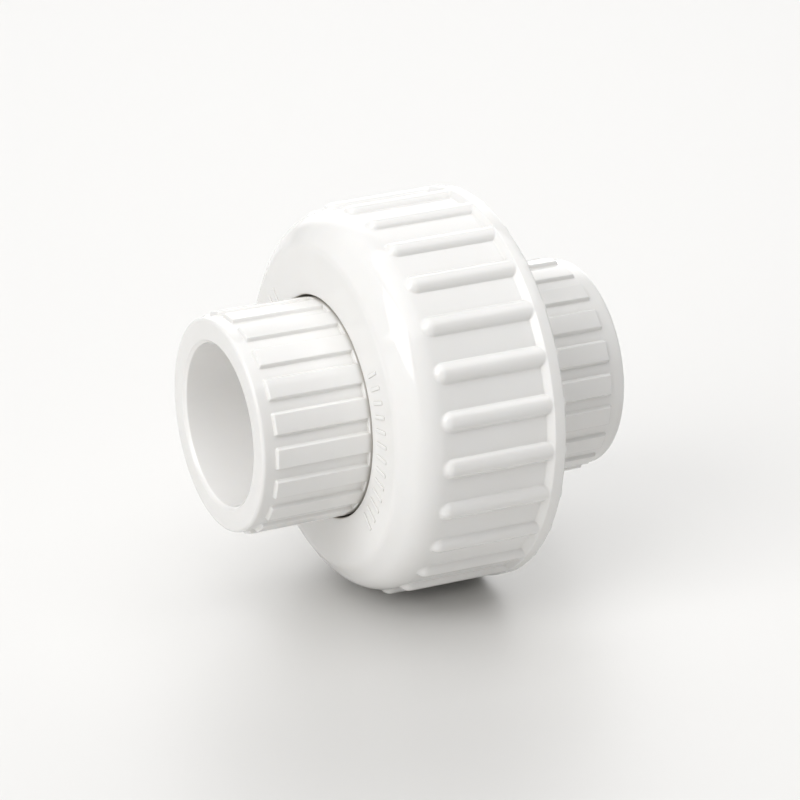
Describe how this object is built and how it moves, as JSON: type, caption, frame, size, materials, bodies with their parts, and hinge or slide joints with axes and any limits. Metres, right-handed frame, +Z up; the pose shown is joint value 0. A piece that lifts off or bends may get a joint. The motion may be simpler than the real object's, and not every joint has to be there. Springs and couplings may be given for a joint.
{
  "type": "pipe union",
  "caption": "White moulded pipe union: two socket hubs with raised grip pads, joined and sealed by a ribbed screw collar nut.",
  "frame": {"origin": "on the common pipe axis, midway between the two socket mouths, which is also the centre of the overall box", "axes": "+X along the pipe axis from the tailpiece mouth to the threaded end's mouth, +Z up, +Y across"},
  "size_m": [0.0528, 0.0526, 0.0526],
  "materials": {
    "white_pvc": "glossy",
    "black_rubber": "satin"
  },
  "bodies": {
    "connector": {"threaded_end_connector": "white_pvc", "o_ring": "black_rubber"},
    "tailpiece": {"socket_tailpiece": "white_pvc"},
    "nut": {"union_nut": "white_pvc"}
  },
  "joints": [
    {"name": "tailpiece_slide", "type": "slide", "parent": "connector", "child": "tailpiece", "axis": [-1, 0, 0], "range_m": [0, 0.01101]},
    {"name": "nut_turn", "type": "hinge", "parent": "tailpiece", "child": "nut", "pos_m": [-0.00135, 0, 0], "axis": [-1, 0, 0], "range_deg": [0, 990]}
  ],
  "couplings": [
    {"joint": "tailpiece_slide", "follows": "nut_turn", "m_per_rad": 0.00063662}
  ]
}
